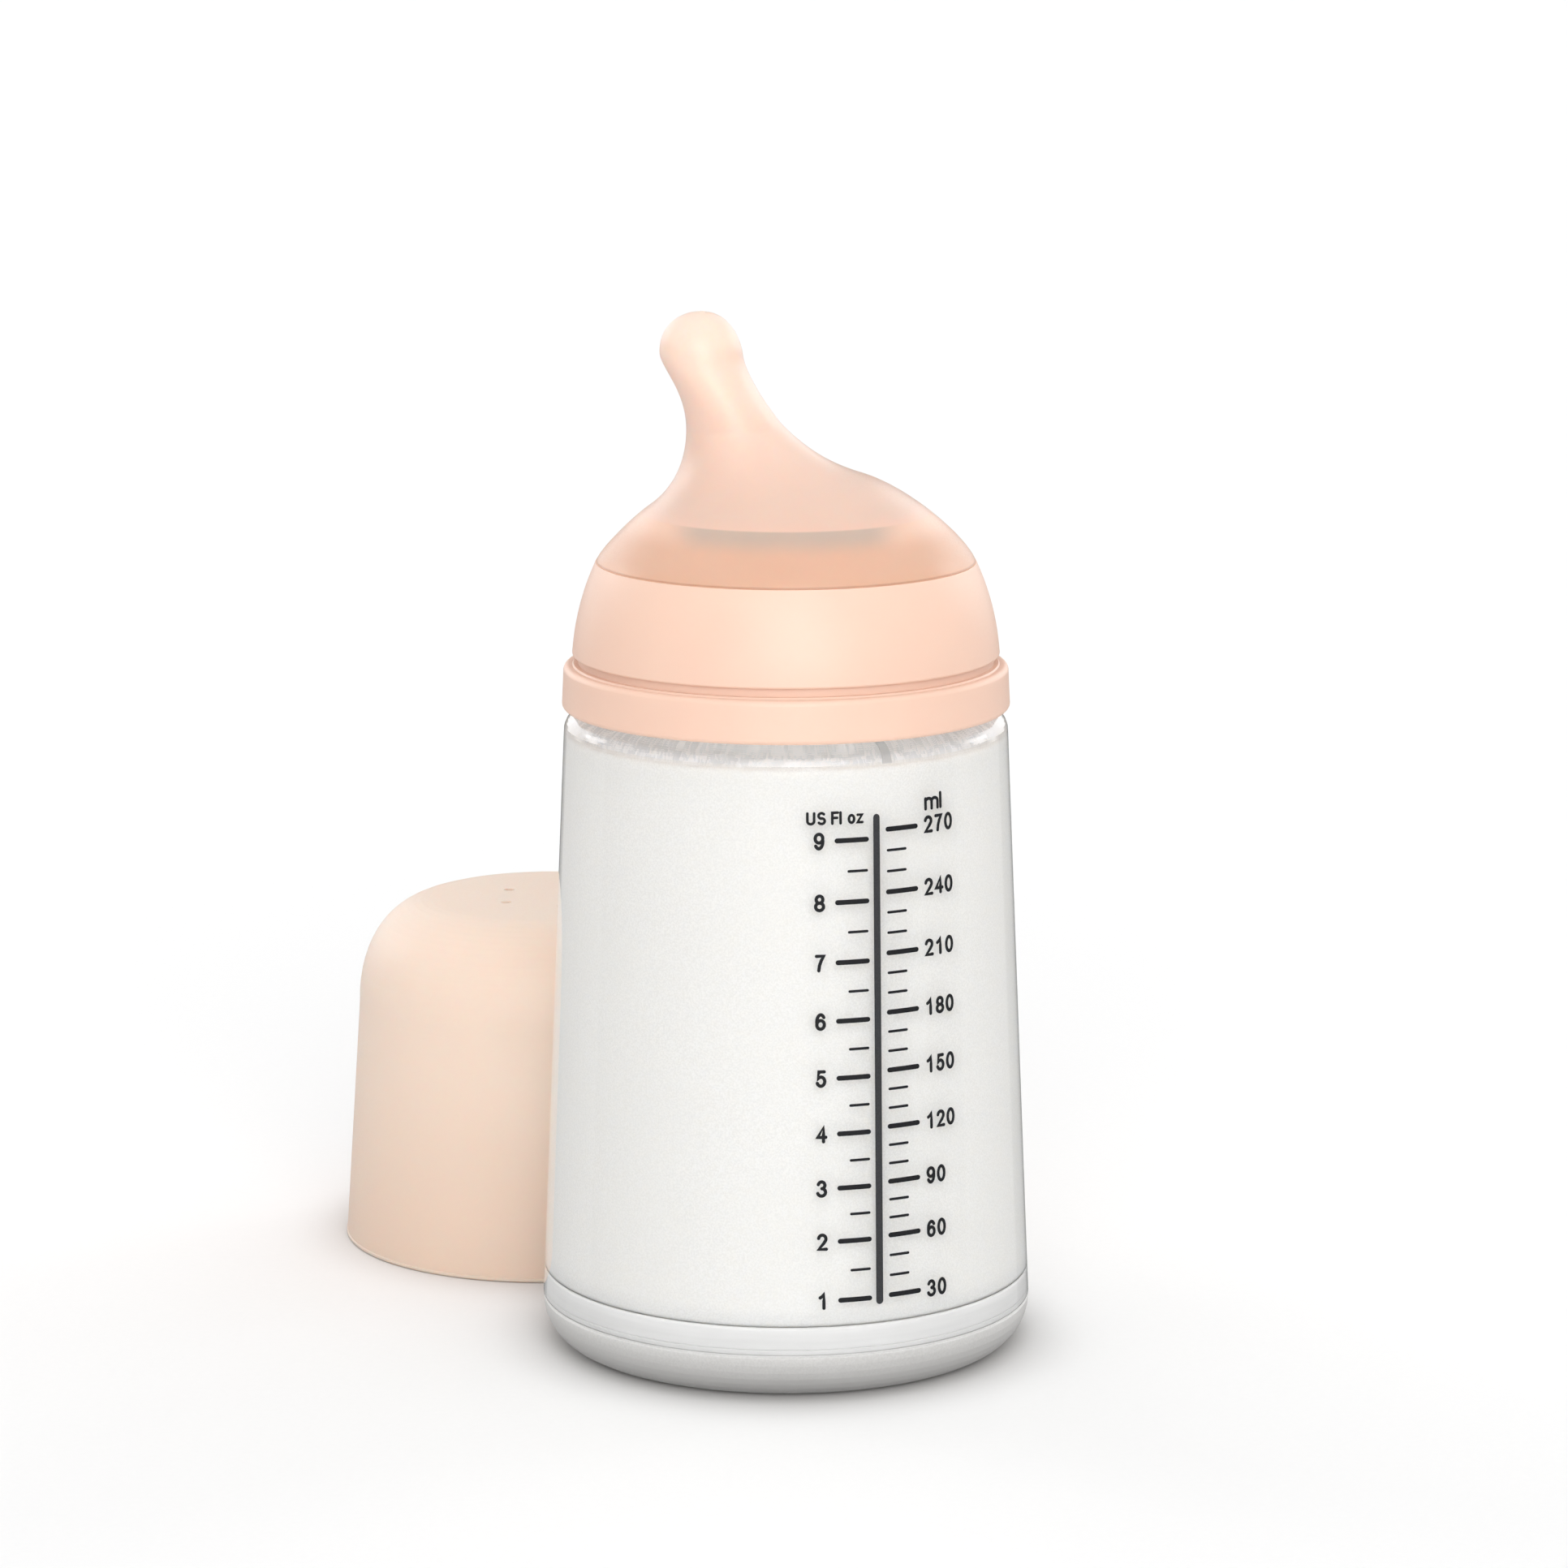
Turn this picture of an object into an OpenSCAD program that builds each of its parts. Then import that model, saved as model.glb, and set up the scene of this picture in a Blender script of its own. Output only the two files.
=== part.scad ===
// Bag-lined baby bottle: clear tapered housing on a frosted foot, silicone milk bag,
// screw collar, leaning silicone teat, and the cap standing beside it.
// Millimetres, +Z up. The origin is the centre of the underside, on the table.
// -Y is the front, and the teat leans towards -X.

/* [Housing] */
// Outer radius of the clear wall at its foot
foot_r = 37.75; // [36.5:0.25:39]
// Outer radius of the clear wall at its top, below the shoulder
shoulder_r = 33.95; // [33.6:0.05:34.2]
// Height of the seam between the frosted foot and the clear wall
foot_z = 7.2; // [6.5:0.1:8]
// Height of the flat top of the shoulder
shoulder_z = 98.9; // [98:0.1:98.9]
// Thickness of the clear wall
housing_wall = 2; // [1.8:0.1:2.2]
// Radius of the rounded shoulder edge
shoulder_round = 3.2; // [2.5:0.1:3.5]
// Bearing of the index mark on the shoulder, from the front towards +X, in degrees
index_bearing = 26; // [0:1:45]

/* [Neck and thread] */
// Outer radius of the neck, between the threads
neck_r = 28.2; // [28:0.05:28.3]
// Radius of the opening through the neck
neck_bore_r = 25.2; // [24.8:0.1:25.4]
// Height of the top of the neck
neck_z = 112; // [111.8:0.1:112]
// Rise of the thread in one turn
pitch = 4; // [3.8:0.1:4.4]
// Radial height of the thread on the neck
thread_h = 1.2; // [1:0.05:1.25]

/* [Foot] */
// Radius of the flat underside
flat_r = 31.7; // [28:0.1:33]
// Thickness of the foot's shell
foot_wall = 2.1; // [1.8:0.1:2.4]
// Radius of an air hole in the floor
air_hole_r = 1.2; // [0.8:0.1:2]
// Distance of the air holes from the centre
air_circle_r = 12; // [8:1:20]

/* [Milk bag] */
// Height of the bag's underside
bag_z = 12; // [11:0.5:14]
// Thickness of the bag
bag_wall = 1; // [0.8:0.1:1.2]
// Space between the bag and the clear wall
bag_gap = 0.5; // [0.3:0.1:0.8]

/* [Collar] */
// Outer radius of the collar's flange at its lower edge
flange_r = 34.2; // [34:0.1:34.6]
// Height of the underside of the flange
flange_z = 99.4; // [99.3:0.1:99.6]
// Height of the top of the flange
flange_top_z = 106; // [105.6:0.1:106.2]
// Radius at the bottom of the groove that the cap snaps into
groove_r = 31.7; // [31.5:0.1:31.9]
// Height of the dome's lower edge
dome_z = 107.5; // [107.4:0.1:107.8]
// Radius of the smooth bore that clears the thread on the neck
collar_bore_r = 29.9; // [29.7:0.05:30]
// Radius of the opening that the teat passes through
opening_r = 19.4; // [19.3:0.1:19.8]
// Turn of the screw collar that is modelled, in turns
collar_turns = 1; // [0.5:0.1:1]

/* [Teat] */
// Outer radius of the skirt where it meets the collar
skirt_r = 28.8; // [28.6:0.05:28.9]
// Height of the seam between the collar and the skirt
seam_z = 121.7; // [121.6:0.1:121.8]
// Thickness of the teat's wall
teat_wall = 1.9; // [1.5:0.1:2.2]
// Radius of the feeding hole in the tip
feed_hole_r = 0.5; // [0.3:0.1:1]

/* [Cap] */
// Outer radius of the cap at its open rim
cap_r = 34; // [33.8:0.1:34.4]
// Outer radius of the cap where its straight wall ends
cap_top_r = 31.3; // [31:0.1:31.8]
// Height of the straight wall
cap_straight_h = 39; // [36:0.5:42]
// Overall height of the cap
cap_h = 56.5; // [56.5:0.5:62]
// Radius of the flat top
cap_flat_r = 18; // [14:0.5:22]
// Thickness of the cap
cap_wall = 1.3; // [1.1:0.1:1.3]
// Place of the cap on the table, from the bottle's centre
cap_at = [-39.2, 61];

/* [Hidden] */
$fn = 96;
clear_colour = [0.93, 0.94, 0.94, 0.45];
foot_colour = [0.82, 0.82, 0.81];
silicone_white = [0.97, 0.97, 0.95];
peach_plastic = [1.0, 0.86, 0.77];
peach_silicone = [0.96, 0.79, 0.69];
peach_cap = [0.96, 0.85, 0.79];

// Small edges and clearances
edge = 0.25;
soft_clear = 0.1;
running_clear = 0.2;

// Housing
wall_top_z = shoulder_z - shoulder_round;
draft = (foot_r - shoulder_r) / (wall_top_z - foot_z);
shoulder_plate = 2;
// The foot's tongue stands up inside the clear wall, nearly as high as the bag's underside
tongue_h = 4.2;
tongue_r = 36.5;
tongue_round = 0.35;
snap_groove_h = 0.8;

// Neck: the top part is stepped in, so that the bag's lip lies flush with the neck
lip_step = 1;
lip_z = neck_z - 1.8;
thread_z = 102.6;
thread_root_w = 1.8;
thread_crest_w = 1;
neck_thread_turns = 1.25;
// Distance from the neck's thread down to the collar's thread when screwed home
thread_below = 1.6;
collar_crest_r = neck_r + 0.4;

// Bag
bag_lip_r = neck_r - lip_step + soft_clear;
bag_rim_z = neck_z + 0.05 + bag_wall;

// Collar
clamp_z = 115.45;
flange_top_r = flange_r - 0.25;
dome_arc_r = 39.9;
dome_arc_x = -7.2;
dome_arc_z = 104.8;
cone_arc_r = 34;
cone_foot_r = skirt_r - 1.9;
cone_rim_r = 20;
cone_rim_z = 128.7;

// Teat: the two outlines as seen from the front, each a chain of four cubic curves
lean_side = [
    [-skirt_r, seam_z + soft_clear], [-28.4, 123.2], [-23.4, 128.2], [-21.1, 129.8],
    [-17, 132.7], [-15.1, 137], [-15.1, 141.8],
    [-15.1, 147.9], [-19.1, 151.3], [-19.1, 153.6],
    [-19.1, 157.9], [-15.7, 159.7], [-12.8, 159.7]
];
long_side = [
    [skirt_r, seam_z + soft_clear], [28, 124.4], [19.8, 132.2], [12.2, 134.7],
    [6, 136.6], [2.7, 139.3], [-0.4, 142.3],
    [-1.5, 143.5], [-6.1, 149.6], [-6.5, 153.2],
    [-6.9, 155.9], [-8.7, 159.7], [-12.8, 159.7]
];
teat_tip = [-12.8, 159.7];
teat_sides = 40;
// Where along the outlines the inside of the nipple leaves the round lower bore
bore_join = 1.375;
teat_bore_r = 17;
teat_flange_r = 27.8;
teat_flange_z = bag_rim_z + soft_clear;
teat_column_r = 24.9;

// Cap
vent_count = 5;
vent_r = 0.9;
vent_circle_r = 8.3;
cap_round = 0.916;

// ---- Curves ----

// Points on an arc from angle a0 to a1, in steps of about a1 - a0 over n
function arc(x, z, r, a0, a1, n) =
    [for (i = [0:n]) [x + r * cos(a0 + (a1 - a0) * i / n), z + r * sin(a0 + (a1 - a0) * i / n)]];

// Points on a quarter of an ellipse-like curve; power 1 is an ellipse, less is squarer
function corner(x, z, rx, rz, power, n) =
    [for (i = [0:n]) [x + rx * pow(cos(90 * i / n), power), z + rz * pow(sin(90 * i / n), power)]];

function reversed(list) = [for (i = [len(list) - 1:-1:0]) list[i]];

// Point and direction at t on a chain of cubic curves, one curve for each whole step of t
function cubic(p, u) =
    p[0] * pow(1 - u, 3) + p[1] * 3 * pow(1 - u, 2) * u + p[2] * 3 * (1 - u) * u * u + p[3] * pow(u, 3);
function cubic_way(p, u) =
    (p[1] - p[0]) * pow(1 - u, 2) + (p[2] - p[1]) * 2 * (1 - u) * u + (p[3] - p[2]) * u * u;
function piece(chain, t) = [for (i = [0:3]) chain[3 * min(floor(t), 3) + i]];
function along(chain, t) = cubic(piece(chain, t), t - min(floor(t), 3));
function way(chain, t) =
    let (v = cubic_way(piece(chain, t), t - min(floor(t), 3))) v / norm(v);

// The same point moved inwards by d, to the right of the way along the chain when side is 1
function inset(chain, t, d, side) =
    let (v = way(chain, t)) along(chain, t) + d * side * [v[1], -v[0]];

// ---- Sweeps ----

// Skin over closed rings of equal point counts, where the last ring joins the first
module skin(rings) {
    n = len(rings[0]);
    m = len(rings);
    polyhedron(
        points = [for (ring = rings) for (p = ring) p],
        faces = [for (k = [0:m - 1]) for (j = [0:n - 1]) each [
            [k * n + j, ((k + 1) % m) * n + j, ((k + 1) % m) * n + (j + 1) % n],
            [k * n + j, ((k + 1) % m) * n + (j + 1) % n, k * n + (j + 1) % n]
        ]],
        convexity = 8
    );
}

// One helical ridge of trapezoid section, standing outwards, or inwards when crest_r < root_r
module thread(root_r, crest_r, z0, turns) {
    steps = ceil(turns * 36);
    fade = 5;
    inward = crest_r < root_r;
    sections = [for (i = [0:steps])
        let (
            a = 360 * turns * i / steps,
            z = z0 + pitch * turns * i / steps,
            height = min(1, (min(i, steps - i) + 0.6) / fade),
            r = root_r + (crest_r - root_r) * height,
            root_w = thread_root_w / 2,
            crest_w = thread_crest_w / 2
        )
        [for (p = [[root_r, -root_w], [r, -crest_w], [r, crest_w], [root_r, root_w]])
            [p[0] * cos(a), p[0] * sin(a), z + p[1]]]
    ];
    walls = [for (i = [0:steps - 1]) for (j = [0:3]) each [
        [4 * i + j, 4 * i + (j + 1) % 4, 4 * i + 4 + (j + 1) % 4],
        [4 * i + j, 4 * i + 4 + (j + 1) % 4, 4 * i + 4 + j]
    ]];
    last = 4 * steps;
    ends = [[3, 2, 1], [3, 1, 0], [last, last + 1, last + 2], [last, last + 2, last + 3]];
    faces = concat(walls, ends);
    polyhedron(
        points = [for (s = sections) for (p = s) p],
        faces = inward ? [for (f = faces) reversed(f)] : faces,
        convexity = 6
    );
}

// ---- Housing ----

function wall_r(z) = foot_r - draft * (z - foot_z);

module housing_profile() {
    round_x = shoulder_r - shoulder_round;
    inner_top_z = shoulder_z - shoulder_plate;
    inner_round = 2;
    inner_x = wall_r(inner_top_z) - housing_wall - inner_round;
    rebate_z = foot_z + tongue_h + 0.1;
    polygon(concat(
        [[foot_r - edge, foot_z], [foot_r, foot_z + edge]],
        arc(round_x, wall_top_z, shoulder_round, 0, 90, 10),
        [[neck_r + 0.4, shoulder_z], [neck_r, shoulder_z + 0.4]],
        [[neck_r, lip_z], [neck_r - lip_step, lip_z]],
        [[neck_r - lip_step, neck_z - edge], [neck_r - lip_step - edge, neck_z]],
        [[neck_bore_r + edge, neck_z], [neck_bore_r, neck_z - edge]],
        arc(neck_bore_r + 1, inner_top_z + 1, 1, 180, 270, 5),
        reversed(arc(inner_x, inner_top_z - inner_round, inner_round, 0, 90, 6)),
        [[wall_r(rebate_z) - housing_wall, rebate_z]],
        [[tongue_r + 0.1, rebate_z], [tongue_r + 0.1, foot_z]]
    ));
}

// Index mark: a low rib over the shoulder's edge, just right of the scale's bar
module index_rib() {
    round_x = shoulder_r - shoulder_round;
    rib_angle = 2.4;
    rib_h = 0.22;
    rotate_extrude(angle = rib_angle, start = index_bearing - 90 - rib_angle / 2)
        polygon(concat(
            [[neck_r + 1, shoulder_z - 0.6], [round_x, shoulder_z - 0.6]],
            reversed(arc(round_x, wall_top_z, shoulder_round - 0.6, 8, 90, 4)),
            arc(round_x, wall_top_z, shoulder_round + rib_h, 8, 90, 8),
            [[neck_r + 1, shoulder_z + rib_h]]
        ));
}

module housing() {
    color(clear_colour)
        union() {
            rotate_extrude() housing_profile();
            index_rib();
            thread(neck_r - 0.3, neck_r + thread_h, thread_z, neck_thread_turns);
        }
}

// ---- Foot ----

module base_cup() {
    round_rx = foot_r - flat_r;
    inner_rz = foot_z - edge - foot_wall;
    groove_z = foot_z + snap_groove_h;
    color(foot_colour)
        difference() {
            rotate_extrude()
                polygon(concat(
                    [[0, 0]],
                    [for (a = [-90:10:0])
                        [flat_r + round_rx * cos(a), foot_z - edge + (foot_z - edge) * sin(a)]],
                    [[foot_r - edge, foot_z], [tongue_r, foot_z]],
                    [[tongue_r, groove_z - 0.12], [tongue_r - 0.15, groove_z], [tongue_r, groove_z + 0.12]],
                    arc(tongue_r - tongue_round, foot_z + tongue_h - tongue_round, tongue_round, 0, 90, 4),
                    [[foot_r - foot_wall, foot_z + tongue_h]],
                    [for (a = [0:-10:-90])
                        [flat_r + (round_rx - foot_wall) * cos(a), foot_z - edge + inner_rz * sin(a)]],
                    [[0, foot_wall]]
                ));
            for (a = [30:120:270])
                rotate([0, 0, a]) translate([air_circle_r, 0, -1])
                    cylinder(h = foot_wall + 2, r = air_hole_r);
        }
}

// ---- Milk bag ----

function bag_r(z) = wall_r(z) - housing_wall - bag_gap;

module milk_bag() {
    bag_top_z = shoulder_z - shoulder_plate - bag_gap;
    bag_neck_r = neck_bore_r - running_clear;
    foot_round = 1.6;
    top_round = 2;
    rim_round = 0.5;
    lip_low_z = lip_z + 0.1;
    color(silicone_white)
        rotate_extrude()
            polygon(concat(
                [[0, bag_z]],
                arc(bag_r(bag_z) - foot_round, bag_z + foot_round, foot_round, -90, 0, 5),
                arc(bag_r(bag_top_z) - top_round, bag_top_z - top_round, top_round, 0, 90, 5),
                [[bag_neck_r, bag_top_z], [bag_neck_r, neck_z + 0.05]],
                [[bag_lip_r, neck_z + 0.05], [bag_lip_r, lip_low_z]],
                [[neck_r - edge, lip_low_z], [neck_r, lip_low_z + edge]],
                arc(neck_r - rim_round, bag_rim_z - rim_round, rim_round, 0, 90, 4),
                [[bag_neck_r - bag_wall, bag_rim_z]],
                [[bag_neck_r - bag_wall, bag_top_z - bag_wall]],
                reversed(arc(
                    bag_r(bag_top_z) - top_round, bag_top_z - top_round,
                    top_round - bag_wall, 0, 90, 4
                )),
                reversed(arc(
                    bag_r(bag_z) - foot_round, bag_z + foot_round,
                    foot_round - bag_wall, -90, 0, 4
                )),
                [[0, bag_z + bag_wall]]
            ));
}

// ---- Collar ----

// The cone under the teat's skirt bulges a little: points from its foot up to its rim
function cone_points(foot, rim, n) =
    let (
        chord = rim - foot,
        half = norm(chord) / 2,
        normal = [chord[1], -chord[0]] / norm(chord),
        centre = (foot + rim) / 2 - normal * sqrt(cone_arc_r * cone_arc_r - half * half),
        a0 = atan2(foot[1] - centre[1], foot[0] - centre[0]),
        a1 = atan2(rim[1] - centre[1], rim[0] - centre[0])
    )
    arc(centre[0], centre[1], cone_arc_r, a0, a1, n);

module collar_profile() {
    seal_ring_r = 26.9;
    seal_inner_r = 25.5;
    pocket_r = 28.6;
    pocket_z = 118.5;
    dome_edge = 0.4;
    dome_a0 = asin((dome_z + dome_edge - dome_arc_z) / dome_arc_r);
    dome_a1 = asin((seam_z - dome_arc_z) / dome_arc_r);
    dome_low_r = dome_arc_x + dome_arc_r * cos(dome_a0);
    low_round = 0.7;
    top_round = 0.9;
    step_h = 0.25;
    polygon(concat(
        [[collar_bore_r + 0.5, flange_z]],
        arc(flange_r - low_round, flange_z + low_round, low_round, -90, 0, 5),
        arc(flange_top_r - top_round, flange_top_z - top_round, top_round, 0, 90, 6),
        [[groove_r + 0.9, flange_top_z], [groove_r + 0.7, flange_top_z + step_h]],
        [[groove_r, flange_top_z + step_h], [groove_r, dome_z]],
        arc(dome_low_r - dome_edge, dome_z + dome_edge, dome_edge, -90, 0, 4),
        arc(dome_arc_x, dome_arc_z, dome_arc_r, dome_a0, dome_a1, 14),
        cone_points([cone_foot_r, seam_z], [cone_rim_r, cone_rim_z], 5),
        [[opening_r, cone_rim_z - 0.4], [opening_r, cone_rim_z - 1.7]],
        [[seal_inner_r, 120.2], [seal_inner_r, clamp_z], [seal_ring_r, clamp_z]],
        [[seal_ring_r, pocket_z], [pocket_r, pocket_z], [pocket_r, clamp_z + 0.2]],
        [[collar_bore_r, clamp_z - 0.8], [collar_bore_r, flange_z + 0.5]]
    ));
}

module collar() {
    color(peach_plastic)
        union() {
            rotate_extrude() collar_profile();
            thread(collar_bore_r + 0.3, collar_crest_r, thread_z - thread_below, collar_turns);
        }
}

// ---- Teat ----

// A ring whose diameter runs from a to b, both in the plane through the lean
function ring(a, b) =
    let (mid = (a + b) / 2, half = (b - a) / 2)
    [for (j = [0:teat_sides - 1])
        let (t = 360 * j / teat_sides)
        [mid[0] + half[0] * cos(t), norm(half) * sin(t), mid[1] + half[1] * cos(t)]];

function round_ring(r, z) = ring([-r, z], [r, z]);

module teat() {
    hole = [feed_hole_r, 0];
    inner_tip = teat_tip - [0, teat_wall];
    outside = [for (t = [0:0.2:3.81]) ring(along(lean_side, t), along(long_side, t))];
    inside = [for (t = [3.75:-0.25:bore_join])
        ring(inset(lean_side, t, teat_wall, 1), inset(long_side, t, teat_wall, -1))];
    bore = [
        ring([-teat_bore_r, 128.9], [14.2, 131.4]),
        round_ring(teat_bore_r, 127.4),
        round_ring(teat_bore_r + 0.3, 124.5),
        round_ring(21.4, 118),
        round_ring(21.8, teat_flange_z)
    ];
    flange = [
        round_ring(teat_flange_r - edge, teat_flange_z),
        round_ring(teat_flange_r, teat_flange_z + edge),
        round_ring(teat_flange_r, clamp_z - soft_clear - edge),
        round_ring(teat_flange_r - edge, clamp_z - soft_clear),
        round_ring(teat_column_r, clamp_z - soft_clear),
        round_ring(teat_column_r, 119.4),
        round_ring(opening_r - 0.35, 126.1),
        round_ring(opening_r - 0.35, cone_rim_z)
    ];
    skirt = [for (p = reversed(cone_points(
        [cone_foot_r, seam_z] + [0.25, soft_clear],
        [cone_rim_r, cone_rim_z] + [0, 0.3],
        4
    ))) round_ring(p[0], p[1])];
    color(peach_silicone)
        skin(concat(
            outside,
            [ring(teat_tip - hole, teat_tip + hole), ring(inner_tip - hole, inner_tip + hole)],
            inside, bore, flange, skirt
        ));
}

// ---- Cap ----

module cap_profile() {
    rim_line_z = 0.6;
    rim_line = 0.12;
    bead_r = cap_r - 1.85;
    inner_r = cap_r - cap_wall;
    inner_top_r = cap_top_r - cap_wall;
    polygon(concat(
        [[cap_r - edge, 0], [cap_r, edge], [cap_r, rim_line_z]],
        [[cap_r - rim_line, rim_line_z + rim_line]],
        corner(
            cap_flat_r, cap_straight_h,
            cap_top_r - cap_flat_r, cap_h - cap_straight_h, cap_round, 16
        ),
        [[0, cap_h], [0, cap_h - cap_wall]],
        reversed(corner(
            cap_flat_r, cap_straight_h,
            inner_top_r - cap_flat_r, cap_h - cap_wall - cap_straight_h, cap_round, 12
        )),
        [[inner_r, 2], [bead_r, 1.3], [bead_r, 1], [inner_r, 0.4], [inner_r + 0.2, 0]]
    ));
}

module cap() {
    color(peach_cap)
        translate([cap_at[0], cap_at[1], 0])
            difference() {
                rotate_extrude() cap_profile();
                for (a = [0:360 / vent_count:359])
                    rotate([0, 0, a]) translate([vent_circle_r, 0, cap_h - cap_wall - 1])
                        cylinder(h = cap_wall + 2, r = vent_r);
            }
}

base_cup();
housing();
milk_bag();
collar();
teat();
cap();
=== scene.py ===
"""Looks of a bag-lined baby bottle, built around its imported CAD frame.

Blender works in metres. Sizes in this script are written in millimetres and scaled once, by MM.
"""

import math

import bpy
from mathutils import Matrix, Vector, noise


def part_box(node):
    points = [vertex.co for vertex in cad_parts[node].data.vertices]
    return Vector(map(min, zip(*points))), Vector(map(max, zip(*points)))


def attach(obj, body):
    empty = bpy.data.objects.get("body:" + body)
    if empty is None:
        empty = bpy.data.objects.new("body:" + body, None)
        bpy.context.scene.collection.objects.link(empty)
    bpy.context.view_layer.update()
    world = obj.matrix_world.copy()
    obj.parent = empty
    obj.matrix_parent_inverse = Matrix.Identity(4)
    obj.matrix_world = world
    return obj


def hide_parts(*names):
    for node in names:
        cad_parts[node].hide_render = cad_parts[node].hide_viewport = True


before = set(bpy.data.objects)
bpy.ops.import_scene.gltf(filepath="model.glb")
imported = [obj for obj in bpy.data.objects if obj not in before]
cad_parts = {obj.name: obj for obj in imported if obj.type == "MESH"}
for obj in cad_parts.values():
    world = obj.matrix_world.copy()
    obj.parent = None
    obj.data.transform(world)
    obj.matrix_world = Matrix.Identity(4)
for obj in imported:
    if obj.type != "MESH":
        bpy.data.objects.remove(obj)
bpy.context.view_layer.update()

MM = 0.001

# ---- Sizes taken from the frame, in millimetres ----


def box_mm(node):
    """Lowest and highest corner of a CAD node, in millimetres."""
    low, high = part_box(node)
    return low / MM, high / MM


HOUSING_LOW, HOUSING_HIGH = box_mm("housing")
BAG_LOW, BAG_HIGH = box_mm("milk_bag")
COLLAR_TOP_Z = box_mm("collar")[1].z
TEAT_LOW, TEAT_HIGH = box_mm("teat")

# Clear wall: a cone from the seam on the foot up to the rounded shoulder
FOOT_R = HOUSING_HIGH.x
FOOT_Z = HOUSING_LOW.z
SHOULDER_R = 33.95
SHOULDER_Z = 98.9
SHOULDER_ROUND = 3.2
WALL_TOP_Z = SHOULDER_Z - SHOULDER_ROUND
DRAFT = (FOOT_R - SHOULDER_R) / (WALL_TOP_Z - FOOT_Z)
WALL = 2.0
INDEX_BEARING = 26  # degrees from the front towards +X
INDEX_WIDTH = 2.4  # degrees
NECK_Z = HOUSING_HIGH.z
NECK_R = 28.2

# Bag: hangs inside the wall, with its lip rolled over the neck
BAG_Z = BAG_LOW.z
BAG_RIM_Z = BAG_HIGH.z
BAG_WALL = 1.0
BAG_GAP = 0.15
BAG_TOP_Z = 96.4
BAG_NECK_R = 25.0

# Collar and teat
SEAM_Z = 121.7
CONE_RIM_R = 20.0
CONE_RIM_Z = COLLAR_TOP_Z
TEAT_WALL = 1.9
TEAT_FLANGE_Z = TEAT_LOW.z
TEAT_CLAMP_Z = 115.35
TEAT_FLANGE_R = 27.8
TIP_X = -12.8
TIP_Z = TEAT_HIGH.z
HOLE_R = 0.5


def wall_r(z):
    """Outer radius of the clear wall at a height."""
    return FOOT_R - DRAFT * (z - FOOT_Z)


# ---- Curves ----


def arc(x, z, r, start, end, steps):
    """Points on a circle's arc, from one angle to another, in degrees."""
    angles = [math.radians(start + (end - start) * i / steps) for i in range(steps + 1)]
    return [(x + r * math.cos(a), z + r * math.sin(a)) for a in angles]


def oval(x, z, rx, rz, start, end, steps):
    """Points on an ellipse's arc, from one angle to another, in degrees."""
    return [(x + rx * px, z + rz * pz) for px, pz in arc(0, 0, 1, start, end, steps)]


def straight(a, b, steps):
    """Points from a to b, both ends included."""
    return [(a[0] + (b[0] - a[0]) * i / steps, a[1] + (b[1] - a[1]) * i / steps) for i in range(steps + 1)]


def cubic(p, u):
    """Point on a cubic curve with four control points."""
    v = 1 - u
    return p[0] * v**3 + p[1] * 3 * v * v * u + p[2] * 3 * v * u * u + p[3] * u**3


def cubic_way(p, u):
    """Direction of a cubic curve."""
    v = 1 - u
    return (p[1] - p[0]) * v * v + (p[2] - p[1]) * 2 * v * u + (p[3] - p[2]) * u * u


class Chain:
    """A chain of four cubic curves in the X-Z plane, one for each whole step of t."""

    def __init__(self, points):
        self.points = [Vector(p) for p in points]

    def part(self, t):
        """Control points of the curve that t lies on, and how far along it t is."""
        index = min(int(t), 3)
        return self.points[3 * index : 3 * index + 4], t - index

    def at(self, t):
        """The point at t."""
        p, u = self.part(t)
        return cubic(p, u)

    def inset(self, t, depth, side):
        """The point at t moved inwards; side is 1 where inwards is to the right of the way along."""
        p, u = self.part(t)
        way = cubic_way(p, u).normalized()
        return cubic(p, u) + depth * side * Vector((way.y, -way.x))


# ---- Meshes ----


def mesh_object(name, points, faces, sharp_angle=40):
    """A smooth-shaded mesh object from points in millimetres, with edges past the angle left sharp."""
    mesh = bpy.data.meshes.new(name)
    mesh.from_pydata([tuple(c * MM for c in p) for p in points], [], faces)
    mesh.validate()
    mesh.shade_smooth()
    mesh.set_sharp_from_angle(angle=math.radians(sharp_angle))
    piece = bpy.data.objects.new(name, mesh)
    bpy.context.scene.collection.objects.link(piece)
    return piece


def lathe(name, profile, segments, shift=None):
    """Turns a profile, whose two ends lie on the axis, about Z.

    shift(angle, r, z) gives how far a point moves outwards and upwards.
    """
    points = []
    rows = []
    for r, z in profile:
        if r < 1e-6:
            rows.append([len(points)])
            points.append((0, 0, z))
            continue
        rows.append(list(range(len(points), len(points) + segments)))
        for j in range(segments):
            angle = 2 * math.pi * j / segments
            dr, dz = shift(angle, r, z) if shift else (0, 0)
            points.append(((r + dr) * math.cos(angle), (r + dr) * math.sin(angle), z + dz))
    faces = []
    for low, high in zip(rows, rows[1:]):
        for j in range(segments):
            k = (j + 1) % segments
            if len(low) == 1:
                faces.append((low[0], high[k], high[j]))
            elif len(high) == 1:
                faces.append((low[j], low[k], high[0]))
            else:
                faces.append((low[j], low[k], high[k], high[j]))
    return mesh_object(name, points, faces)


def loft(name, rings):
    """Skins closed rings of equal length, where the last ring joins the first."""
    n = len(rings[0])
    points = [p for ring in rings for p in ring]
    faces = []
    for k in range(len(rings)):
        a, b = k * n, (k + 1) % len(rings) * n
        for j in range(n):
            i = (j + 1) % n
            faces.append((a + i, b + i, b + j, a + j))
    return mesh_object(name, points, faces)


# ---- Materials ----


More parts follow.
